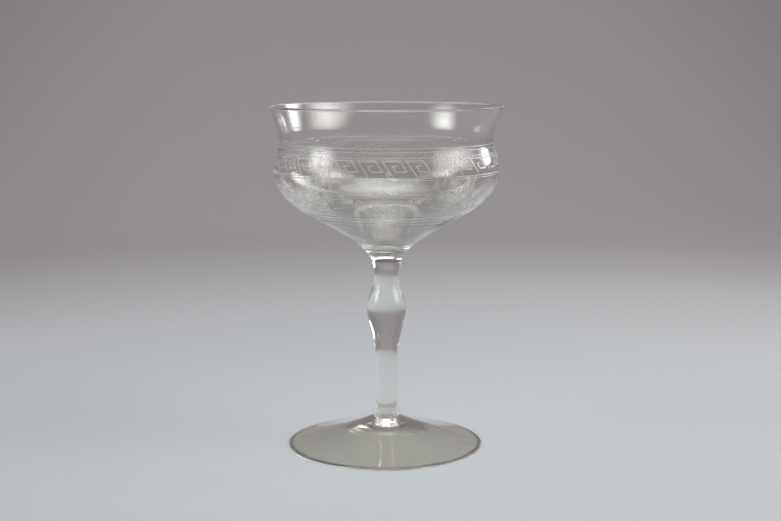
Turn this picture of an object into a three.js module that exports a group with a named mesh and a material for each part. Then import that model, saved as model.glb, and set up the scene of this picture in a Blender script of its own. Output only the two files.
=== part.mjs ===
// Champagne saucer: a stemmed drinking glass with a wide, waisted bowl on a baluster stem.
// Four pieces of clear glass are fused end to end on one upright axis: a spun foot, a collar
// of glass laid on its crown, a drawn solid stem, and a blown bowl with a solid base.
// Millimetres, +Z up. The origin is on the table, at the centre of the foot.

import * as THREE from 'three';

// Foot: a thin disc that rises in a hollow cone to a small flat crown
const FOOT_RADIUS = 37.2;
const FOOT_CROWN_HEIGHT = 11.2; // table to the top of the crown
const FOOT_CROWN_RADIUS = 5.3;
const FOOT_EDGE_RADIUS = 0.65; // rounding of the outer edge
const FOOT_EDGE_SLOPE = 0.18; // rise per millimetre, just inside the edge
const FOOT_REST_WIDTH = 1.2; // flat ring that touches the table
const FOOT_CROWN_THICKNESS = 2.9;
const FOOT_ROOF_REACH = 0.2; // a short handle keeps the disc about 1.5 mm thick outside the crown

// Collar: the wafer of glass between foot and stem
const COLLAR_THICKNESS = 2.2;
const COLLAR_RADIUS = 5.15; // where it bulges most
const COLLAR_FACE_RADIUS = 4.85; // its flat ends
const COLLAR_EDGE_LEAN = 60;

// Stem: slim at both ends, with one pear-shaped swelling
const STEM_LENGTH = 58.1;
const STEM_BASE_RADIUS = 4.7;
const STEM_BASE_LEAN = -12;
const SHANK_RADIUS = 4.1; // thinnest, below the swelling
const SHANK_FOOT_RISE = 9; // stem base up to where the shank starts to flare
const SHANK_DROP = 39.5; // stem top down to the top of the shank
const TAPER_RADIUS = 5.0; // lower end of the straight taper under the swelling
const TAPER_DROP = 30.5;
const TAPER_LEAN = 12;
const SWELL_RADIUS = 7.5;
const SWELL_DROP = 18.9; // stem top down to the widest point
const SWELL_REACH = 0.25;
const STEM_NECK_RADIUS = 4.75;
const STEM_NECK_DROP = 6; // stem top down to the neck's thinnest point

// Bowl, outside: solid base, cone, bulge, waist and flared lip. Leans are degrees from upright
const JOINT_RADIUS = 5.65; // where the bowl's solid base is fused to the stem
const JOINT_LEAN = 15;
const BASE_HEIGHT = 7; // joint up to the start of the cone
const BASE_REACH = 0.35;
const CONE_BASE_RADIUS = 12;
const CONE_BASE_LEAN = 54.5;
const CONE_HEIGHT = 11.3;
const CONE_TOP_RADIUS = 30.4;
const CONE_TOP_LEAN = 62;
const CONE_REACH = 0.33;
const SHOULDER_HEIGHT = 16.1; // top of the cone up to the bulge
const BULGE_RADIUS = 42.3;
const SHOULDER_REACHES = [0.34, 0.37];
const WAIST_RISE = 12.7; // bulge up to the waist
const WAIST_RADIUS = 40.05;
const LIP_RISE = 10.6; // waist up to the root of the rounded lip
const LIP_RADIUS = 43.6;
const LIP_LEAN = 28;
const LIP_REACHES = [0.15, 0.3];

// Bowl, inside: wall thicknesses, and the shallow well over the solid base
const LIP_WALL = 1.1;
const BODY_WALL = 1.2; // at the bulge and the waist
const CONE_TOP_WALL = 1.25;
const CONE_BASE_WALL = 1.4;
const WELL_FILLET_WIDTH = 3.2; // from the foot of the inner cone in to the well's edge
const WELL_FILLET_DROP = 1.1;
const WELL_FILLET_REACHES = [0.25, 0.55];
const WELL_DEPTH = 0.35; // the well's edge down to its middle
const WELL_EDGE_LEAN = 84;

// Handle length of a smooth curve, as a share of the distance between its ends
const USUAL_REACH = 0.4;

// Facets: sides around the axis, and steps along each curved stretch of a profile
const WIDE_SIDES = 48;
const SLIM_SIDES = 32;
const CURVE_STEPS = 4;
const WELL_STEPS = 3;
const EDGE_STEPS = 6;

const collarSeat = FOOT_CROWN_HEIGHT;
const stemSeat = collarSeat + COLLAR_THICKNESS;
const bowlSeat = stemSeat + STEM_LENGTH;

const clearGlass = (name, colour) => {
  const material = new THREE.MeshStandardMaterial({ color: colour, roughness: 0.04, metalness: 0 });
  material.name = name;
  material.transparent = true;
  material.opacity = 0.4;
  return material;
};

// A station is a point of a profile, as radius and height, with the profile's lean there:
// degrees from upright, outwards being positive, as the profile runs upwards.
function station(radius, height, lean = 0) {
  const angle = THREE.MathUtils.degToRad(lean);
  return {
    at: new THREE.Vector2(radius, height),
    way: new THREE.Vector2(Math.sin(angle), Math.cos(angle)),
  };
}

// The smooth curve that leaves one station along its lean and arrives along the next one's.
// The reaches are the lengths of its two handles, as shares of the distance between them.
function flow(from, to, reachOut = USUAL_REACH, reachIn = reachOut) {
  const distance = from.at.distanceTo(to.at);
  return new THREE.CubicBezierCurve(
    from.at,
    from.at.clone().addScaledVector(from.way, distance * reachOut),
    to.at.clone().addScaledVector(to.way, -distance * reachIn),
    to.at,
  );
}

// Points along a chain of curves, each joint given once
function pointsAlong(curves, steps = CURVE_STEPS) {
  return curves.flatMap((curve, i) => curve.getPoints(steps).slice(i === 0 ? 0 : 1));
}

// Points of an arc round a centre, from one angle to another, in degrees
function arcPoints(centre, radius, fromAngle, toAngle, steps) {
  return Array.from({ length: steps + 1 }, (_, i) => {
    const angle = THREE.MathUtils.degToRad(fromAngle + ((toAngle - fromAngle) * i) / steps);
    return new THREE.Vector2(Math.cos(angle), Math.sin(angle)).multiplyScalar(radius).add(centre);
  });
}

// Turns a profile of (radius, height) points about the upright axis
function turned(name, profile, sides, material) {
  const geometry = new THREE.LatheGeometry(profile, sides);
  geometry.rotateX(Math.PI / 2);
  const mesh = new THREE.Mesh(geometry, material);
  mesh.name = name;
  return mesh;
}

// Foot. The top falls from the crown to the edge in a parabola that flattens outwards; the
// underside is hollow and follows it, so that only a narrow ring touches the table.
function makeFoot() {
  const edgeCentre = new THREE.Vector2(FOOT_RADIUS - FOOT_EDGE_RADIUS, FOOT_EDGE_RADIUS);
  const edgeTop = 2 * FOOT_EDGE_RADIUS;
  const fall = edgeCentre.x - FOOT_CROWN_RADIUS;
  const bend = (FOOT_CROWN_HEIGHT - edgeTop - FOOT_EDGE_SLOPE * fall) / fall ** 2;
  const topAt = (radius) => {
    const inward = edgeCentre.x - radius;
    return edgeTop + FOOT_EDGE_SLOPE * inward + bend * inward ** 2;
  };

  const restInner = edgeCentre.x - FOOT_REST_WIDTH;
  const roof = station(0, FOOT_CROWN_HEIGHT - FOOT_CROWN_THICKNESS, 90);
  const fallLean = 90 + THREE.MathUtils.radToDeg(Math.atan(FOOT_EDGE_SLOPE));
  const underside = flow(roof, station(restInner, 0, fallLean), FOOT_ROOF_REACH, USUAL_REACH);

  const edge = arcPoints(edgeCentre, FOOT_EDGE_RADIUS, -90, 90, EDGE_STEPS);
  const topSteps = 2 * CURVE_STEPS;
  const top = Array.from({ length: topSteps }, (_, i) => {
    const radius = edgeCentre.x - (fall * (i + 1)) / topSteps;
    return new THREE.Vector2(radius, topAt(radius));
  });
  const crown = new THREE.Vector2(0, FOOT_CROWN_HEIGHT);
  const profile = [...underside.getPoints(2 * CURVE_STEPS), ...edge, ...top, crown];
  return turned('foot', profile, WIDE_SIDES, clearGlass('foot_glass', 0xdcded8));
}

// Collar: a wafer with flat ends and a rounded rim
function makeFootCollar() {
  const bottom = station(COLLAR_FACE_RADIUS, collarSeat, COLLAR_EDGE_LEAN);
  const widest = station(COLLAR_RADIUS, collarSeat + COLLAR_THICKNESS / 2);
  const top = station(COLLAR_FACE_RADIUS, stemSeat, -COLLAR_EDGE_LEAN);
  const profile = [
    new THREE.Vector2(0, collarSeat),
    ...pointsAlong([flow(bottom, widest), flow(widest, top)]),
    new THREE.Vector2(0, stemSeat),
  ];
  return turned('foot_collar', profile, SLIM_SIDES, clearGlass('collar_glass', 0xe2e6e2));
}

// Stem: solid glass, its swelling and neck placed down from the joint with the bowl
function makeStem() {
  const base = station(STEM_BASE_RADIUS, stemSeat, STEM_BASE_LEAN);
  const shankFoot = station(SHANK_RADIUS, stemSeat + SHANK_FOOT_RISE);
  const shankTop = station(SHANK_RADIUS, bowlSeat - SHANK_DROP);
  const taper = station(TAPER_RADIUS, bowlSeat - TAPER_DROP, TAPER_LEAN);
  const swell = station(SWELL_RADIUS, bowlSeat - SWELL_DROP);
  const neck = station(STEM_NECK_RADIUS, bowlSeat - STEM_NECK_DROP);
  const joint = station(JOINT_RADIUS, bowlSeat, JOINT_LEAN);
  const profile = [
    new THREE.Vector2(0, stemSeat),
    ...pointsAlong([
      flow(base, shankFoot),
      new THREE.LineCurve(shankFoot.at, shankTop.at),
      flow(shankTop, taper),
      flow(taper, swell, SWELL_REACH),
      flow(swell, neck),
      flow(neck, joint),
    ]),
    new THREE.Vector2(0, bowlSeat),
  ];
  return turned('stem', profile, SLIM_SIDES, clearGlass('stem_glass', 0xe6eae6));
}

// Bowl. The inside is the outside set in by the wall, whose thickness passes evenly from
// cone to bulge to lip; below the cone the inside ends in a shallow well.
function makeBowl() {
  const coneBaseHeight = bowlSeat + BASE_HEIGHT;
  const coneTopHeight = coneBaseHeight + CONE_HEIGHT;
  const bulgeHeight = coneTopHeight + SHOULDER_HEIGHT;
  const waistHeight = bulgeHeight + WAIST_RISE;
  const joint = station(JOINT_RADIUS, bowlSeat, JOINT_LEAN);
  const coneBase = station(CONE_BASE_RADIUS, coneBaseHeight, CONE_BASE_LEAN);
  const coneTop = station(CONE_TOP_RADIUS, coneTopHeight, CONE_TOP_LEAN);
  const bulge = station(BULGE_RADIUS, bulgeHeight);
  const waist = station(WAIST_RADIUS, waistHeight);
  const lip = station(LIP_RADIUS, waistHeight + LIP_RISE, LIP_LEAN);
  const walls = [
    { curve: flow(coneBase, coneTop, CONE_REACH), from: CONE_BASE_WALL, to: CONE_TOP_WALL },
    { curve: flow(coneTop, bulge, ...SHOULDER_REACHES), from: CONE_TOP_WALL, to: BODY_WALL },
    { curve: flow(bulge, waist), from: BODY_WALL, to: BODY_WALL },
    { curve: flow(waist, lip, ...LIP_REACHES), from: BODY_WALL, to: LIP_WALL },
  ];

  const base = flow(joint, coneBase, BASE_REACH);
  const outside = pointsAlong([base, ...walls.map((wall) => wall.curve)]);
  const inside = walls.flatMap(({ curve, from, to }, i) =>
    Array.from({ length: CURVE_STEPS + 1 }, (_, step) => {
      const along = step / CURVE_STEPS;
      const way = curve.getTangent(along);
      const inward = new THREE.Vector2(-way.y, way.x);
      return curve.getPoint(along).addScaledVector(inward, from + (to - from) * along);
    }).slice(i === 0 ? 0 : 1),
  );

  // The lip is a half round, set across the top of the wall
  const lipCentre = outside.at(-1).clone().lerp(inside.at(-1), 0.5);
  const lipRound = arcPoints(lipCentre, LIP_WALL / 2, -LIP_LEAN, 180 - LIP_LEAN, EDGE_STEPS);

  // The well meets the inside of the cone at the cone's own slope
  const coneFoot = { at: inside[0], way: coneBase.way };
  const wellEdge = station(
    coneFoot.at.x - WELL_FILLET_WIDTH,
    coneFoot.at.y - WELL_FILLET_DROP,
    WELL_EDGE_LEAN,
  );
  const wellMiddle = station(0, wellEdge.at.y - WELL_DEPTH, 90);
  const fillet = flow(wellEdge, coneFoot, ...WELL_FILLET_REACHES);
  const well = pointsAlong([flow(wellMiddle, wellEdge), fillet], WELL_STEPS);

  const profile = [
    new THREE.Vector2(0, bowlSeat),
    ...outside,
    ...lipRound.slice(1, -1),
    ...inside.toReversed(),
    ...well.toReversed().slice(1),
  ];
  return turned('bowl', profile, WIDE_SIDES, clearGlass('bowl_glass', 0xe8ecea));
}

const glass = new THREE.Group();
glass.add(makeFoot(), makeFootCollar(), makeStem(), makeBowl());

export default glass;
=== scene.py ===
# Champagne saucer: a stemmed drinking glass with a wide, waisted bowl on a baluster stem.
# Four pieces of clear glass are fused end to end on one upright axis: foot, collar, stem and bowl.
# The maker's sizes are in millimetres and are turned into metres where a mesh is closed.

import math

import bmesh
import bpy
import mathutils
import numpy as np
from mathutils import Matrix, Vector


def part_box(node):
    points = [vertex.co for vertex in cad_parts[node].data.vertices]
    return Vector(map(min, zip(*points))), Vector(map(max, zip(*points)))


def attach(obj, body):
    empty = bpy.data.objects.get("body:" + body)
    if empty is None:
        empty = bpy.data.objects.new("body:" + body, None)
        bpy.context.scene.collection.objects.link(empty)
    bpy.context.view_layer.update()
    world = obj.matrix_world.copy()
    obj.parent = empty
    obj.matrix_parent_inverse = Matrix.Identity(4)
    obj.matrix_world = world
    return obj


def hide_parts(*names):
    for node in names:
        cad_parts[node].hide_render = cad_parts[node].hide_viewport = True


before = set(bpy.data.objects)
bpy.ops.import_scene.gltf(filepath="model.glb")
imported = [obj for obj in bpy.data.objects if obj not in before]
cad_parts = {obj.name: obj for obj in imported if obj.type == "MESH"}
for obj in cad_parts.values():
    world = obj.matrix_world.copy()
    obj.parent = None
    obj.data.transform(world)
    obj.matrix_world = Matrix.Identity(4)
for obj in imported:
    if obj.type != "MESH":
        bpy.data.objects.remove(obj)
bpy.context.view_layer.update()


# ---- Foot ----------------------------------------------------------------------------------
# A gather of soda glass spun out into a thin disc while hot, hollow underneath so that only a
# narrow ring stands on the table. The disc is a little off centre, as hand work is, and its
# edge and that ring are scuffed by use.

MILLIMETRE = 0.001
foot_low, foot_high = (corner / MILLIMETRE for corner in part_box("foot"))
FOOT_RADIUS = (foot_high.x - foot_low.x) / 2
CROWN_HEIGHT = foot_high.z
CROWN_RADIUS = 5.3
FOOT_EDGE_RADIUS = 0.65
FOOT_EDGE_SLOPE = 0.18
REST_WIDTH = 1.2
CROWN_THICKNESS = 2.9
ROOF_REACH, FALL_REACH, UNDERSIDE_STEPS = 0.2, 0.4, 40  # how the underside leaves and arrives
FOOT_OFF_CENTRE = 0.56
COLLAR_FACE_RADIUS = 4.85
FOOT_SIDES = 240
WELD = 1e-4  # places nearer than this are one place

FOOT_TINT, FOOT_SHADE = (0.78, 0.75, 0.695, 1), (0.86, 0.855, 0.84, 1)
WORN_TINT = (1.0, 0.985, 0.95, 1)
GLASS_IOR = 1.5
TINT_SPAN = 0.2  # metres of height that a tint given as stops is spread over


class Reading:
    """A shader value that can be used in sums; each operator adds its Math node."""

    def __init__(self, finish, socket):
        self.finish, self.socket = finish, socket

    def sum_of(self, operation, *values):
        return self.finish.node("ShaderNodeMath", {"operation": operation}, dict(enumerate(values)))

    def __getitem__(self, output):
        return Reading(self.finish, self.socket.node.outputs[output])

    def __add__(self, other):
        return self.sum_of("ADD", self, other)

    def __sub__(self, other):
        return self.sum_of("SUBTRACT", self, other)

    def __rsub__(self, other):
        return self.sum_of("SUBTRACT", other, self)

    def __mul__(self, other):
        return self.sum_of("MULTIPLY", self, other)

    __radd__ = __add__
    __rmul__ = __mul__


class Finish:
    """A material whose nodes all come from one method."""

    def __init__(self, name, tree=None):
        if tree is None:
            self.material = bpy.data.materials.new(name)
            self.material.use_nodes = True
        self.tree = tree or self.material.node_tree
        self.tree.nodes.clear()

    def node(self, kind, settings=None, sockets=None):
        made = self.tree.nodes.new(kind)
        for setting, value in (settings or {}).items():
            if setting == "stops":
                ramp = made.color_ramp.elements
                while len(ramp) < len(value):
                    ramp.new(1.0)
                for stop, (place, colour) in zip(ramp, value):
                    stop.position, stop.color = place, colour
            else:
                setattr(made, setting, value)
        for name, value in (sockets or {}).items():
            if isinstance(value, Reading):
                self.tree.links.new(value.socket, made.inputs[name])
            else:
                made.inputs[name].default_value = value
        return Reading(self, made.outputs[0]) if made.outputs else None

    def surface(self, shader):
        self.node("ShaderNodeOutputMaterial", {}, {"Surface": shader})
        return self.material


def clear_glass(name, tint, shade, wave_grain, wave_depth, haze):
    """Glass with slow waves in its skin and a faint uneven haze from handling. The tint is one
    colour, or stops of height and colour. Shadow rays pass straight through, dimmed by the
    shade, so that no dark pool lies on the table."""
    finish = Finish(name)
    place = finish.node("ShaderNodeTexCoord")["Object"]
    if isinstance(tint, list):
        height = finish.node("ShaderNodeSeparateXYZ", {}, {0: place})["Z"]
        stops = [(level / TINT_SPAN, colour) for level, colour in tint]
        tint = finish.node("ShaderNodeValToRGB", {"stops": stops}, {"Fac": height * (1 / TINT_SPAN)})
    stretched = finish.node("ShaderNodeMapping", {}, {"Vector": place, "Scale": wave_grain})
    waves = finish.node("ShaderNodeTexNoise", {}, {"Vector": stretched, "Scale": 1.0, "Detail": 2.0})
    skin = finish.node("ShaderNodeBump", {}, {"Height": waves, "Distance": wave_depth, "Strength": 1.0})
    smears = finish.node("ShaderNodeTexNoise", {}, {"Vector": place, "Scale": 90.0, "Detail": 5.0})
    glass = finish.node("ShaderNodeBsdfPrincipled", {}, {
        "Base Color": tint, "Roughness": smears * haze, "IOR": GLASS_IOR,
        "Transmission Weight": 1.0, "Normal": skin})
    through = finish.node("ShaderNodeBsdfTransparent", {}, {"Color": shade})
    shadow = finish.node("ShaderNodeLightPath")["Is Shadow Ray"]
    return finish.surface(finish.node("ShaderNodeMixShader", {}, {0: shadow, 1: glass, 2: through}))


def fused_joint():
    """Where two hot gathers have run together nothing of the join is seen."""
    finish = Finish("fused_joint")
    return finish.surface(finish.node("ShaderNodeBsdfTransparent", {}, {"Color": (1, 1, 1, 1)}))


def upright(radius, height, lean=0.0):
    """A place on a profile and the way the profile runs there, in degrees out from upright."""
    angle = math.radians(lean)
    return np.array((radius, height)), np.array((math.sin(angle), math.cos(angle)))


def flow(start, end, leave=0.4, arrive=None, steps=16):
    """The smooth curve that leaves one place and arrives at the next along their own ways."""
    (here, out), (there, into) = start, end
    reach = np.linalg.norm(there - here)
    pull = here + out * reach * leave
    push = there - into * reach * (leave if arrive is None else arrive)
    t = np.linspace(0, 1, steps + 1)[:, None]
    points = ((1 - t) ** 3 * here + 3 * (1 - t) ** 2 * t * pull
              + 3 * (1 - t) * t ** 2 * push + t ** 3 * there)
    ways = (1 - t) ** 2 * (pull - here) + 2 * (1 - t) * t * (push - pull) + t ** 2 * (there - push)
    return points, ways / np.linalg.norm(ways, axis=1)[:, None]


def straight(here, there, steps=1):
    here, there = np.array(here, float), np.array(there, float)
    points = here + (there - here) * np.linspace(0, 1, steps + 1)[:, None]
    way = (there - here) / np.linalg.norm(there - here)
    return points, np.tile(way, (steps + 1, 1))


def rounding(centre, radius, first, last, steps=10):
    """An arc of a profile about a centre, between two angles in degrees."""
    angles = np.radians(np.linspace(first, last, steps + 1))
    spokes = np.stack((np.cos(angles), np.sin(angles)), axis=1)
    turn = 1 if last > first else -1
    return np.array(centre) + spokes * radius, np.stack((-spokes[:, 1], spokes[:, 0]), axis=1) * turn


class Form:
    """A piece's skin, gathered from patches and then welded shut. Each corner of a face keeps the
    true direction of the surface there, so that the glass bends light as a smooth body does."""

    def __init__(self, sides):
        self.sides = sides
        self.points, self.faces, self.normals, self.finishes = [], [], [], []

    def patch(self, points, normals, faces, finish=0):
        base = len(self.points)
        self.points.extend(points)
        for face in faces:
            self.faces.append([base + corner for corner in face])
            self.normals.extend(normals[corner] for corner in face)
            self.finishes.append(finish)

    def turn(self, profile, finish=0):
        """A profile turned about the axis, its outside on the right of the way it runs."""
        places, ways = profile
        angles = np.arange(self.sides) * 2 * math.pi / self.sides
        round_about = np.stack((np.sin(angles), -np.cos(angles)), axis=1)
        points, normals, rows = [], [], []
        for (radius, height), (way_out, way_up) in zip(places, ways):
            rows.append(range(len(points), len(points) + self.sides))
            points.extend((radius * x, radius * y, height) for x, y in round_about)
            normals.extend((way_up * x, way_up * y, -way_out) for x, y in round_about)
        faces = []
        for low, high, (below, _), (above, _) in zip(rows, rows[1:], places, places[1:]):
            for i in range(self.sides):
                j = (i + 1) % self.sides
                if below < WELD:
                    faces.append((low[i], high[j], high[i]))
                elif above < WELD:
                    faces.append((low[i], low[j], high[i]))
                else:
                    faces.append((low[i], low[j], high[j], high[i]))
        self.patch(points, normals, faces, finish)

    def close(self, name, materials, settle=None, facet=None):
        mesh = bpy.data.meshes.new(name)
        mesh.from_pydata(self.points, [], self.faces)
        mesh.polygons.foreach_set("material_index", self.finishes)
        true = mesh.attributes.new("true_normal", "FLOAT_VECTOR", "CORNER")
        true.data.foreach_set("vector", np.array(self.normals, dtype=np.float32).ravel())
        work = bmesh.new()
        work.from_mesh(mesh)
        bmesh.ops.remove_doubles(work, verts=work.verts, dist=WELD)
        for vertex in work.verts:
            place = settle(vertex.co.copy()) if settle else vertex.co
            vertex.co = place * MILLIMETRE
        work.to_mesh(mesh)
        work.free()
        kept = np.empty(len(mesh.loops) * 3, dtype=np.float32)
        mesh.attributes["true_normal"].data.foreach_get("vector", kept)
        mesh.attributes.remove(mesh.attributes["true_normal"])
        kept = kept.reshape(-1, 3)
        for face in mesh.polygons if facet is not None else ():
            if face.material_index == facet:
                kept[face.loop_start:face.loop_start + face.loop_total] = face.normal
        mesh.polygons.foreach_set("use_smooth", [True] * len(mesh.polygons))
        mesh.normals_split_custom_set(kept.tolist())
        for material in materials:
            mesh.materials.append(material)
        piece = bpy.data.objects.new(name, mesh)
        bpy.context.scene.collection.objects.link(piece)
        return piece


def along(*curves):
    """Curves end to end as one profile."""
    places = [curves[0][0]] + [points[1:] for points, _ in curves[1:]]
    ways = [curves[0][1]] + [leans[1:] for _, leans in curves[1:]]
    return np.concatenate(places), np.concatenate(ways)


def foot_top(radius):
    """Height and slope of the upper surface, which falls in a parabola that flattens outwards."""
    fall = FOOT_RADIUS - FOOT_EDGE_RADIUS - CROWN_RADIUS
    bend = (CROWN_HEIGHT - 2 * FOOT_EDGE_RADIUS - FOOT_EDGE_SLOPE * fall) / fall ** 2
    inward = FOOT_RADIUS - FOOT_EDGE_RADIUS - radius
    height = 2 * FOOT_EDGE_RADIUS + FOOT_EDGE_SLOPE * inward + bend * inward ** 2
    return height, FOOT_EDGE_SLOPE + 2 * bend * inward


def foot_upper_surface(steps=40):
    radii = np.linspace(FOOT_RADIUS - FOOT_EDGE_RADIUS, CROWN_RADIUS, steps + 1)
    heights, slopes = foot_top(radii)
    ways = np.stack((-np.ones_like(slopes), slopes), axis=1)
    return np.stack((radii, heights), axis=1), ways / np.linalg.norm(ways, axis=1)[:, None]


def foot_underside():
    """Flat under the crown, then falling side by side with the top to the ring on the table."""
    roof = upright(0, CROWN_HEIGHT - CROWN_THICKNESS, 90)
    fall = 90 + math.degrees(math.atan(FOOT_EDGE_SLOPE))
    ring = upright(FOOT_RADIUS - FOOT_EDGE_RADIUS - REST_WIDTH, 0, fall)
    return flow(roof, ring, ROOF_REACH, FALL_REACH, UNDERSIDE_STEPS)


def drift_off_centre(place):
    """The spun disc drifts to one side between its crown and its edge."""
    out = max(0.0, math.hypot(place.x, place.y) - CROWN_RADIUS) / (FOOT_RADIUS - CROWN_RADIUS)
    place.x -= FOOT_OFF_CENTRE * out
    return place


rest_ring = (FOOT_RADIUS - FOOT_EDGE_RADIUS - REST_WIDTH, 0), (FOOT_RADIUS - FOOT_EDGE_RADIUS, 0)
edge_centre = (FOOT_RADIUS - FOOT_EDGE_RADIUS, FOOT_EDGE_RADIUS)
foot_glass = clear_glass("foot_glass", FOOT_TINT, FOOT_SHADE,
                         wave_grain=(40, 40, 40), wave_depth=0.0004, haze=0.03)
joint_glass = fused_joint()

foot = Form(FOOT_SIDES)
foot.turn(foot_underside())
foot.turn(straight(*rest_ring), finish=2)
foot.turn(rounding(edge_centre, FOOT_EDGE_RADIUS, -90, 90), finish=2)
foot.turn(foot_upper_surface())
foot.turn(straight((CROWN_RADIUS, CROWN_HEIGHT), (COLLAR_FACE_RADIUS, CROWN_HEIGHT)))
foot.turn(straight((COLLAR_FACE_RADIUS, CROWN_HEIGHT), (0, CROWN_HEIGHT)), finish=1)
worn_glass = clear_glass("worn_glass", WORN_TINT, FOOT_SHADE,
                         wave_grain=(60, 60, 20), wave_depth=0.00002, haze=0.9)
foot_piece = foot.close("foot_disc", [foot_glass, joint_glass, worn_glass], drift_off_centre)
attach(foot_piece, "root")
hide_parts("foot")


# ---- Collar --------------------------------------------------------------------------------
# A small wafer of glass laid on the hot crown of the foot, which takes the stem. It bulges
# under the weight and stays a hair wider than the stem that stands on it.

collar_low, collar_high = (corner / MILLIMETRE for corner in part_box("foot_collar"))
COLLAR_RADIUS = (collar_high.x - collar_low.x) / 2
STEM_BASE_RADIUS = 4.7
COLLAR_EDGE_LEAN = 60
SLIM_SIDES = 120
COLLAR_TINT, COLLAR_SHADE = (0.90, 0.91, 0.88, 1), (0.9, 0.9, 0.9, 1)

collar_bottom = upright(COLLAR_FACE_RADIUS, collar_low.z, COLLAR_EDGE_LEAN)
collar_widest = upright(COLLAR_RADIUS, (collar_low.z + collar_high.z) / 2)
collar_top = upright(COLLAR_FACE_RADIUS, collar_high.z, -COLLAR_EDGE_LEAN)
collar_glass = clear_glass("collar_glass", COLLAR_TINT, COLLAR_SHADE,
                           wave_grain=(90, 90, 90), wave_depth=0.0003, haze=0.03)

collar = Form(SLIM_SIDES)
collar.turn(straight((0, collar_low.z), (COLLAR_FACE_RADIUS, collar_low.z)), finish=1)
collar.turn(along(flow(collar_bottom, collar_widest), flow(collar_widest, collar_top)))
collar.turn(straight((COLLAR_FACE_RADIUS, collar_high.z), (STEM_BASE_RADIUS, collar_high.z)))
collar.turn(straight((STEM_BASE_RADIUS, collar_high.z), (0, collar_high.z)), finish=1)
collar_piece = collar.close("collar_wafer", [collar_glass, joint_glass])
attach(collar_piece, "root")
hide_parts("foot_collar")


# ---- Stem ----------------------------------------------------------------------------------
# Solid glass drawn down from the bowl's base: a slim neck, one pear-shaped swelling, and a
# shank that spreads a little where it sits on the collar. Drawing leaves faint upright streaks.

stem_low, stem_high = (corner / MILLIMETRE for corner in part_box("stem"))
SWELL_RADIUS = (stem_high.x - stem_low.x) / 2
SHANK_RADIUS, TAPER_RADIUS, NECK_RADIUS, JOINT_RADIUS = 4.1, 5.0, 4.75, 5.65
SHANK_FOOT_RISE, SHANK_DROP, TAPER_DROP, SWELL_DROP, NECK_DROP = 9, 39.5, 30.5, 18.9, 6
STEM_BASE_LEAN, TAPER_LEAN, JOINT_LEAN = -12, 12, 15
SWELL_REACH = 0.25
STEM_TINT, STEM_SHADE = (0.95, 0.945, 0.92, 1), (0.93, 0.94, 0.93, 1)

stem_base = upright(STEM_BASE_RADIUS, stem_low.z, STEM_BASE_LEAN)
shank_foot = upright(SHANK_RADIUS, stem_low.z + SHANK_FOOT_RISE)
shank_top = upright(SHANK_RADIUS, stem_high.z - SHANK_DROP)
taper = upright(TAPER_RADIUS, stem_high.z - TAPER_DROP, TAPER_LEAN)
swell = upright(SWELL_RADIUS, stem_high.z - SWELL_DROP)
neck = upright(NECK_RADIUS, stem_high.z - NECK_DROP)
joint = upright(JOINT_RADIUS, stem_high.z, JOINT_LEAN)
stem_glass = clear_glass("stem_glass", STEM_TINT, STEM_SHADE,
                         wave_grain=(160, 160, 12), wave_depth=0.00025, haze=0.02)

stem = Form(SLIM_SIDES)
stem.turn(straight((0, stem_low.z), (STEM_BASE_RADIUS, stem_low.z)), finish=1)
stem.turn(along(flow(stem_base, shank_foot), straight(shank_foot[0], shank_top[0], 8),
                flow(shank_top, taper), flow(taper, swell, SWELL_REACH),
                flow(swell, neck), flow(neck, joint)))
stem.turn(straight((JOINT_RADIUS, stem_high.z), (0, stem_high.z)), finish=1)
stem_piece = stem.close("drawn_stem", [stem_glass, joint_glass])
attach(stem_piece, "root")
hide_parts("stem")


# ---- Bowl ----------------------------------------------------------------------------------
# Blown thin and flared at the fire-polished lip. The decoration is needle-etched through a
# wax resist with a template that repeats six times: rings, a running key pattern, pilasters
# and festoons, all fine frosted grooves.

bowl_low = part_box("bowl")[0] / MILLIMETRE
LIP_WALL, BODY_WALL, CONE_TOP_WALL, CONE_BASE_WALL = 1.1, 1.2, 1.25, 1.4
CONE_BASE_RADIUS, CONE_BASE_RISE, CONE_BASE_LEAN = 12, 7, 54.5
CONE_TOP_RADIUS, CONE_TOP_RISE, CONE_TOP_LEAN = 30.4, 11.3, 62
BULGE_RADIUS, BULGE_RISE = 42.3, 16.1
WAIST_RADIUS, WAIST_RISE = 40.05, 12.7
LIP_RADIUS, LIP_RISE, LIP_LEAN = 43.6, 10.6, 28
BASE_REACH, CONE_REACH, SHOULDER_REACHES, LIP_REACHES = 0.35, 0.33, (0.34, 0.37), (0.15, 0.3)
WELL_FILLET_WIDTH, WELL_FILLET_DROP, WELL_FILLET_REACHES = 3.2, 1.1, (0.25, 0.55)
WELL_EDGE_LEAN, WELL_DEPTH = 84, 0.35
TEMPLATES = 6
TEMPLATE_COLUMNS = 48
TEMPLATE_START = -26.25  # degrees round from the front; a whole number of columns
ETCH_DEPTH = 0.06
FINE_LINE, BROAD_LINE = 0.11, 0.19  # half widths
ETCHED_FROM, ETCHED_TO = 86.4, 117.4
BOWL_TINT = [  # the solid base is greener and darker than the thin wall above it
    (0.074, (0.62, 0.61, 0.575, 1)), (0.082, (0.74, 0.73, 0.695, 1)),
    (0.092, (0.87, 0.865, 0.835, 1)), (0.112, (0.955, 0.955, 0.94, 1))]
BOWL_SHADE = (0.95, 0.95, 0.95, 1)
LIP_TINT, LIP_SHADE = (1.0, 1.0, 0.99, 1), (0.95, 0.95, 0.94, 1)
ETCHED_TINT = (0.93, 0.94, 0.93, 1)

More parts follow.
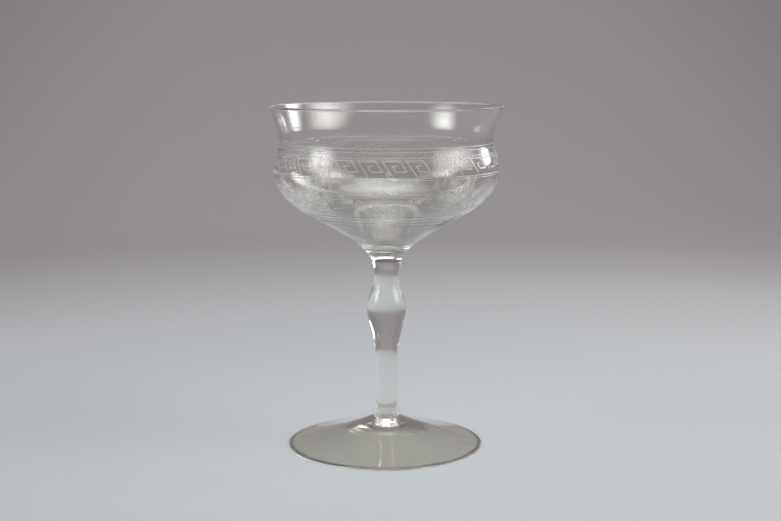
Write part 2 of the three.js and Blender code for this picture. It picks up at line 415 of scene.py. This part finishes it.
bowl_joint = upright(JOINT_RADIUS, bowl_low.z, JOINT_LEAN)
cone_base = upright(CONE_BASE_RADIUS, bowl_low.z + CONE_BASE_RISE, CONE_BASE_LEAN)
cone_top = upright(CONE_TOP_RADIUS, cone_base[0][1] + CONE_TOP_RISE, CONE_TOP_LEAN)
bulge = upright(BULGE_RADIUS, cone_top[0][1] + BULGE_RISE)
waist = upright(WAIST_RADIUS, bulge[0][1] + WAIST_RISE)
lip = upright(LIP_RADIUS, waist[0][1] + LIP_RISE, LIP_LEAN)
base_curve = flow(bowl_joint, cone_base, BASE_REACH)
walls = [
    (flow(cone_base, cone_top, CONE_REACH), CONE_BASE_WALL, CONE_TOP_WALL),
    (flow(cone_top, bulge, *SHOULDER_REACHES), CONE_TOP_WALL, BODY_WALL),
    (flow(bulge, waist), BODY_WALL, BODY_WALL),
    (flow(waist, lip, *LIP_REACHES), BODY_WALL, LIP_WALL),
]


def inner_side(curve, wall_from, wall_to):
    """The inside of a wall, set in square to the outside by its thickness there."""
    places, ways = curve
    inward = np.stack((-ways[:, 1], ways[:, 0]), axis=1)
    thickness = np.linspace(wall_from, wall_to, len(places))[:, None]
    inside = places + inward * thickness
    run = np.gradient(inside, axis=0)
    return inside, run / np.linalg.norm(run, axis=1)[:, None]


outside = along(base_curve, *(curve for curve, _, _ in walls))
inside = along(*(inner_side(*wall) for wall in walls))
lip_centre = (outside[0][-1] + inside[0][-1]) / 2
cone_foot = inside[0][0], cone_base[1]
well_edge = upright(cone_foot[0][0] - WELL_FILLET_WIDTH, cone_foot[0][1] - WELL_FILLET_DROP,
                    WELL_EDGE_LEAN)
well_middle = upright(0, well_edge[0][1] - WELL_DEPTH, 90)
well = along(flow(well_middle, well_edge), flow(well_edge, cone_foot, *WELL_FILLET_REACHES))

# The outside as it is met by a tape laid up it from the joint
tape = np.concatenate(([0], np.cumsum(np.linalg.norm(np.diff(outside[0], axis=0), axis=1))))


def tape_at(height):
    return np.interp(height, outside[0][:, 1], tape)


def outside_at(lengths):
    """Places and ways of the outside at some lengths up the tape."""
    places = np.stack([np.interp(lengths, tape, outside[0][:, i]) for i in (0, 1)], axis=1)
    ways = np.stack([np.interp(lengths, tape, outside[1][:, i]) for i in (0, 1)], axis=1)
    return places, ways / np.linalg.norm(ways, axis=1)[:, None]


TEMPLATE_WIDTH = math.radians(360 / TEMPLATES) * bulge[0][0]
PANEL = 24.7  # degrees from the middle of a panel to either end of its key pattern
PANEL_MARGIN = 0.5  # degrees that the template goes on before a panel
PILASTER = 30.0  # degrees from the middle of a panel to the middle of the pilaster beside it
STROKE = 1.3  # the longest side of a triangle along a line
KEY_BAND_RADIUS, GARLAND_RADIUS = 41.4, 40  # radii at which widths become degrees
KEY_LINES = (105.4, 106.2, 113.2)


def on_template(degrees, height):
    """A place on the flat template, from degrees round the panel's middle and a height."""
    return np.array((math.radians(degrees + PANEL + PANEL_MARGIN) * bulge[0][0], tape_at(height)))


def drawn(points, half, close=False):
    """A line of the drawing: its points on the template, no further apart than one stroke."""
    flat = [on_template(*point) for point in points]
    if close:
        flat.append(flat[0])
    fine = [flat[0]]
    for here, there in zip(flat, flat[1:]):
        pieces = max(1, math.ceil(np.linalg.norm(there - here) / STROKE))
        fine.extend(here + (there - here) * (i + 1) / pieces for i in range(pieces))
    return np.array(fine), half


def level(height):
    return drawn([(-PANEL, height), (PANEL, height)], FINE_LINE)


def key_pattern(low=106.9, high=112.3, pitch=8.45, slant=3.7, keys=4):
    """Slanting keys, each a hook that turns in on itself."""
    hook = [(0.05, 0), (0.05, 1), (0.78, 1), (0.78, 0.3), (0.32, 0.3), (0.32, 0.67), (0.55, 0.67)]
    left = -(keys - 1 + 0.73) * pitch / 2 - slant / 2
    for key in range(keys):
        places = [(left + (key + u - 0.05) * pitch + (1 - v) * slant, low + (high - low) * v)
                  for u, v in hook]
        yield drawn([(math.degrees(x / KEY_BAND_RADIUS), z) for x, z in places], BROAD_LINE)


def loop(degrees, height, size, turned, slim=0.4, points=8):
    """A leaf or petal outline that starts at a place and points one way, sizes in millimetres."""
    outline = []
    for i in range(points):
        t = 2 * math.pi * i / points
        length, width = size * (1 - math.cos(t)) / 2, size * slim * math.sin(t) * math.sin(t / 2)
        x = length * math.cos(turned) - width * math.sin(turned)
        z = length * math.sin(turned) + width * math.cos(turned)
        outline.append((degrees + math.degrees(x / GARLAND_RADIUS), height + z))
    return drawn(outline, FINE_LINE, close=True)


def blossom(degrees, height, size, petals):
    return [loop(degrees, height, size, 2 * math.pi * i / petals + 0.3) for i in range(petals)]


def diamond(degrees, height, wide, tall):
    return drawn([(degrees - wide, height), (degrees, height + tall), (degrees + wide, height),
                  (degrees, height - tall)], FINE_LINE, close=True)


def tassel(degrees, height, length):
    return [drawn([(degrees, height), (degrees + spread, height - length)], FINE_LINE)
            for spread in (-1.2, 0, 1.2)]


def pilaster(top=114.3, bottom=101.4, edge=4.3):
    """Upright lines that frame a row of diamonds, with a blossom and a tassel hung below."""
    lines = [drawn([(PILASTER + side, bottom), (PILASTER + side, top)], FINE_LINE)
             for side in (-edge, -3.2, -2.4, 2.4, 3.2, edge)]
    lines += [drawn([(PILASTER - edge, z), (PILASTER + edge, z)], FINE_LINE) for z in (bottom, top)]
    for height in (112.4, 109.6, 106.8, 104.0):
        lines.append(diamond(PILASTER, height, 1.5, 1.15))
        lines.append(drawn([(PILASTER - 0.3, height), (PILASTER + 0.3, height)], BROAD_LINE))
    return lines + blossom(PILASTER, 99.3, 1.7, 8) + tassel(PILASTER, 97.2, 3.2)


def swag(end=23.8, top=101.2, sag=7.0):
    """A garland hung between two pilasters: a double cord with blossoms and leaves on it."""
    def hang(degrees):
        return top - sag * (1 - (abs(degrees) / end) ** 2.1)

    stops = np.linspace(-end, end, 33)
    lines = [drawn([(d, hang(d) - gap) for d in stops], FINE_LINE) for gap in (0, 0.75)]
    for middle, size in ((-18, 1.3), (-9.5, 1.5), (0, 1.9), (9.5, 1.5), (18, 1.3)):
        lines += blossom(middle, hang(middle) - 0.35, size, 5)
    for middle in (-21.2, -14.8, -12.6, -6.4, -3.9, 3.9, 6.4, 12.6, 14.8, 21.2):
        steep = math.atan2(hang(middle + 1) - hang(middle - 1), 2 * GARLAND_RADIUS * math.pi / 180)
        lines.append(loop(middle, hang(middle) + 0.3, 2.1, steep + 0.9))
        lines.append(loop(middle, hang(middle) - 1.0, 2.1, steep - 0.9))
    return lines


drawing = [*map(level, KEY_LINES), *key_pattern(), *pilaster(), *swag(),
           *blossom(0, 100.4, 1.2, 6), *tassel(0, 98.9, 2.2)]
ROOM, GROOVE_ROOM = 0.4, 0.45  # left free of plain points beside a ring and beside a groove
RINGS = (116.4, 115.1, 91.4, 90.2, 88.9, 87.3)


def side_lines(line, half):
    """The two edges and the bottom of a groove, with its ends drawn on by half its width."""
    run = np.gradient(line, axis=0)
    run /= np.maximum(np.linalg.norm(run, axis=1), 1e-9)[:, None]
    steps = np.diff(line, axis=0)
    steps /= np.linalg.norm(steps, axis=1)[:, None]
    across = np.stack((-run[:, 1], run[:, 0]), axis=1)
    square = np.stack((-steps[:, 1], steps[:, 0]), axis=1)
    fit = np.abs((across * np.concatenate((square[:1], square))).sum(1))
    across /= np.maximum(fit, 0.6)[:, None]
    first, last = line[0] - steps[0] * half, line[-1] + steps[-1] * half
    bottom = np.concatenate(([first], line, [last]))
    left, right = line + across * half, line - across * half
    left[0], right[0] = first + square[0] * half * 0.5, first - square[0] * half * 0.5
    left[-1], right[-1] = last + square[-1] * half * 0.5, last - square[-1] * half * 0.5
    return left, bottom, right


def distance_in(points, starts, ends, halves):
    """How far into the nearest groove each point is: 0 at its edge and outside, 1 at its bottom."""
    deepest = np.zeros(len(points))
    spans = ends - starts
    lengths = np.maximum((spans ** 2).sum(1), 1e-12)
    for first in range(0, len(points), 2000):
        some = points[first:first + 2000, None, :]
        share = np.clip(((some - starts) * spans).sum(2) / lengths, 0, 1)
        away = np.linalg.norm(some - starts - share[:, :, None] * spans, axis=2)
        deepest[first:first + 2000] = np.clip(1 - away / halves, 0, 1).max(1)
    return deepest


def cut_template():
    """The template cut into triangles whose sides follow every groove."""
    points, sides = [], []

    def lay(line):
        base = len(points)
        points.extend(mathutils.Vector(point) for point in line)
        sides.extend((base + i, base + i + 1) for i in range(len(line) - 1))

    low, high = tape_at(ETCHED_FROM), tape_at(ETCHED_TO)
    columns = np.linspace(0, TEMPLATE_WIDTH, TEMPLATE_COLUMNS + 1)
    across = [low, high]
    starts, ends, halves = [], [], []
    for height in RINGS:
        middle = tape_at(height)
        across += [middle - FINE_LINE, middle, middle + FINE_LINE]
        starts.append((0, middle))
        ends.append((TEMPLATE_WIDTH, middle))
        halves.append(FINE_LINE)
    for length in across:
        lay(np.stack((columns, np.full_like(columns, length)), axis=1))
    for line, half in drawing:
        for edge in side_lines(line, half):
            lay(edge)
        starts.extend(line[:-1])
        ends.extend(line[1:])
        halves.extend([half] * (len(line) - 1))
    starts, ends, halves = np.array(starts), np.array(ends), np.array(halves)
    plain = np.arange(low + STROKE, high - 0.5, STROKE)
    plain = [length for length in plain if min(abs(length - other) for other in across) > ROOM]
    verge = sorted(across + plain)
    for edge in (0, TEMPLATE_WIDTH):
        lay([(edge, length) for length in verge])
    grid = np.array([(column, length) for length in plain for column in columns[1:-1]])
    clear = distance_in(grid, starts, ends, halves + GROOVE_ROOM) == 0
    points.extend(mathutils.Vector(point) for point in grid[clear])
    assert all(-1e-6 < point.x < TEMPLATE_WIDTH + 1e-6 for point in points)
    cut = mathutils.geometry.delaunay_2d_cdt(points, sides, [], 0, 1e-5)
    places = np.array([tuple(point) for point in cut[0]])
    triangles = np.array(cut[2])
    depths = distance_in(places, starts, ends, halves)
    frosted = distance_in(places[triangles].mean(1), starts, ends, halves) > 0
    return places, triangles, depths, frosted


etched_band = cut_template()


def etched_glass():
    """The floor of a groove, left grey and matt by the acid."""
    finish = Finish("etched_glass")
    place = finish.node("ShaderNodeTexCoord")["Object"]
    grain = finish.node("ShaderNodeTexNoise", {}, {"Vector": place, "Scale": 6000.0, "Detail": 2.0})
    matt = finish.node("ShaderNodeBump", {}, {"Height": grain, "Distance": 0.00003, "Strength": 0.6})
    return finish.surface(finish.node("ShaderNodeBsdfPrincipled", {}, {
        "Base Color": ETCHED_TINT, "Roughness": grain * 0.3 + 0.15, "IOR": GLASS_IOR,
        "Transmission Weight": 0.93, "Normal": matt}))


def between(profile, low, high):
    """The stretch of the outside between two lengths up the tape, with both ends on it."""
    lengths = np.concatenate(([low], tape[(tape > low + 0.05) & (tape < high - 0.05)], [high]))
    return outside_at(lengths)


bowl_glass = clear_glass("bowl_glass", BOWL_TINT, BOWL_SHADE,
                         wave_grain=(28, 28, 55), wave_depth=0.0003, haze=0.02)
bowl = Form(TEMPLATES * TEMPLATE_COLUMNS)
bowl.turn(straight((0, bowl_low.z), (JOINT_RADIUS, bowl_low.z)), finish=1)
bowl.turn(between(outside, 0, tape_at(ETCHED_FROM)))
for template in range(TEMPLATES):
    places, triangles, depths, frosted = etched_band
    radii_heights, ways = outside_at(places[:, 1])
    normals = np.stack((ways[:, 1], -ways[:, 0]), axis=1)
    sunk = radii_heights - normals * (depths * ETCH_DEPTH)[:, None]
    angles = places[:, 0] / bulge[0][0] + math.radians(TEMPLATE_START + 360 * template / TEMPLATES)
    x, y = np.sin(angles), -np.cos(angles)
    skin = np.stack((sunk[:, 0] * x, sunk[:, 0] * y, sunk[:, 1]), axis=1)
    facing = np.stack((normals[:, 0] * x, normals[:, 0] * y, normals[:, 1]), axis=1)
    bowl.patch(skin.tolist(), facing.tolist(), triangles[~frosted].tolist())
    bowl.patch(skin.tolist(), facing.tolist(), triangles[frosted].tolist(), finish=2)
bowl.turn(between(outside, tape_at(ETCHED_TO), tape[-1]))
bowl.turn(rounding(lip_centre, LIP_WALL / 2, -LIP_LEAN, 180 - LIP_LEAN), finish=3)
inner = along(well, inside)
bowl.turn((inner[0][::-1], -inner[1][::-1]))
lip_glass = clear_glass("lip_glass", LIP_TINT, LIP_SHADE,
                        wave_grain=(60, 60, 20), wave_depth=0.00002, haze=0.8)
bowl_piece = bowl.close("blown_bowl", [bowl_glass, joint_glass, etched_glass(), lip_glass], facet=2)
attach(bowl_piece, "root")
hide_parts("bowl")


# ---- Table, light and camera ---------------------------------------------------------------
# A pale sheet lies under the glass and sweeps up into a wall all round it. Its colour turns from
# pale blue-grey near the glass to a mauve grey further off, its paler middle a painted pool of
# light, and painted shade makes it a little darker to the left and right. Large soft lights
# stand round it.

SWEEP_RADIUS, SWEEP_BEND, SWEEP_HEIGHT, SWEEP_SIDES = 0.95, 0.35, 2.0, 96


def paper():
    finish = Finish("backdrop_paper")
    place = finish.node("ShaderNodeTexCoord")["Object"]
    away = finish.node("ShaderNodeVectorMath", {"operation": "LENGTH"}, {0: place})["Value"]
    # The paper's colour by distance from the middle; its paler middle is a painted pool of light.
    shade = finish.node("ShaderNodeValToRGB", {"stops": [
        (0.0, (0.335, 0.356, 0.367, 1)), (0.10, (0.33, 0.348, 0.358, 1)),
        (0.25, (0.332, 0.342, 0.35, 1)), (0.38, (0.322, 0.322, 0.33, 1)),
        (0.48, (0.305, 0.295, 0.30, 1)), (0.62, (0.31, 0.292, 0.296, 1)),
        (1.0, (0.315, 0.295, 0.30, 1)),
    ]}, {"Fac": away})
    # Painted shade: the paper darkens towards the left and right.
    aside = finish.node("ShaderNodeSeparateXYZ", {}, {0: place})["X"]
    painted_side_shade = finish.node("ShaderNodeValToRGB", {"stops": [
        (0.0, (1, 1, 1, 1)), (0.04, (0.97, 0.97, 0.97, 1)), (0.15, (0.80, 0.80, 0.80, 1)),
        (0.36, (0.78, 0.78, 0.78, 1)), (0.9, (0.88, 0.88, 0.88, 1)),
    ]}, {"Fac": aside * aside})
    shade = finish.node("ShaderNodeVectorMath", {"operation": "MULTIPLY"}, {0: shade, 1: painted_side_shade})
    fibres = finish.node("ShaderNodeTexNoise", {}, {"Vector": place, "Scale": 900.0, "Detail": 3.0})
    tooth = finish.node("ShaderNodeBump", {}, {"Height": fibres, "Distance": 0.00005, "Strength": 0.3})
    return finish.surface(finish.node("ShaderNodeBsdfPrincipled", {}, {
        "Base Color": shade, "Roughness": 0.75, "Specular IOR Level": 0.15, "Normal": tooth}))


sweep = Form(SWEEP_SIDES)
floor_run = straight((0, 0), (SWEEP_RADIUS - SWEEP_BEND, 0), 12)
bend = rounding((SWEEP_RADIUS - SWEEP_BEND, SWEEP_BEND), SWEEP_BEND, -90, 0, 16)
wall_run = straight((SWEEP_RADIUS, SWEEP_BEND), (SWEEP_RADIUS, SWEEP_HEIGHT), 4)
sweep_places, sweep_ways = along(floor_run, bend, wall_run)
sweep.turn((sweep_places[::-1] / MILLIMETRE, -sweep_ways[::-1]))
backdrop = sweep.close("backdrop", [paper()])


FADE_GAIN = 3.5  # makes up for what the fade takes away


def soft_light(name, at, towards, width, height, glow, colour, spread=180):
    """A cloth-fronted lamp, brightest in the middle and fading out to its edges."""
    lamp = bpy.data.lights.new(name, "AREA")
    lamp.shape, lamp.size, lamp.size_y = "RECTANGLE", width, height
    lamp.energy, lamp.color, lamp.spread = glow * width * height, colour, math.radians(spread)
    lamp.use_nodes = True
    cloth = Finish(name, lamp.node_tree)
    front = cloth.node("ShaderNodeNewGeometry")["Parametric"]
    across = cloth.node("ShaderNodeSeparateXYZ", {}, {0: front})
    fade = 1.0
    for side in ("X", "Y"):
        off = across[side] * 2 - 1
        fade = (1 - off * off) * (1 - off * off) * fade
    shine = cloth.node("ShaderNodeEmission", {}, {"Color": (1, 1, 1, 1), "Strength": fade * FADE_GAIN})
    cloth.node("ShaderNodeOutputLight", {}, {"Surface": shine})
    holder = bpy.data.objects.new(name, lamp)
    holder.location = at
    aim = mathutils.Vector(towards) - mathutils.Vector(at)
    holder.rotation_euler = aim.to_track_quat("-Z", "Y").to_euler()
    bpy.context.scene.collection.objects.link(holder)
    return holder


WHITE = (1.0, 1.0, 1.0)
soft_light("left_window", at=(-0.70, -0.22, 0.46), towards=(0, 0, 0.11),
           width=0.58, height=0.72, glow=3.4, colour=WHITE, spread=120)
soft_light("right_window", at=(0.68, -0.16, 0.55), towards=(0, 0, 0.11),
           width=0.98, height=1.04, glow=2.8, colour=(1.0, 0.99, 0.98), spread=120)
soft_light("back_window", at=(0.66, 0.50, 0.42), towards=(0, 0, 0.10),
           width=0.46, height=0.84, glow=2.4, colour=WHITE, spread=100)
soft_light("overhead", at=(0.10, 0, 1.6), towards=(0, 0, 0),
           width=2.0, height=2.0, glow=4.3, colour=(0.98, 0.99, 1.0))
soft_light("ceiling_strip", at=(0.1, -0.45, 1.25), towards=(0, 0, 0),
           width=1.20, height=0.40, glow=3, colour=WHITE)

world = bpy.data.worlds.new("room")
world.use_nodes = True
room = world.node_tree.nodes["Background"].inputs
room["Color"].default_value = (0.95, 0.97, 1.0, 1)
room["Strength"].default_value = 0.42
bpy.context.scene.world = world

CAMERA_PLACE = (0.00154, -0.52857, 0.14903)
CAMERA_DOWN = 8.353  # degrees below level
lens = bpy.data.cameras.new("camera")
lens.lens, lens.sensor_width = 64.89, 36.0
camera = bpy.data.objects.new("camera", lens)
camera.location = CAMERA_PLACE
camera.rotation_euler = (math.radians(90 - CAMERA_DOWN), 0, 0)
scene = bpy.context.scene
scene.collection.objects.link(camera)
scene.camera = camera
scene.view_settings.view_transform = "Standard"

# Light crosses the glass many times, and dark spots show where it is stopped too soon
scene.cycles.max_bounces = 24
scene.cycles.glossy_bounces = 16
scene.cycles.transmission_bounces = 24
scene.cycles.transparent_max_bounces = 32
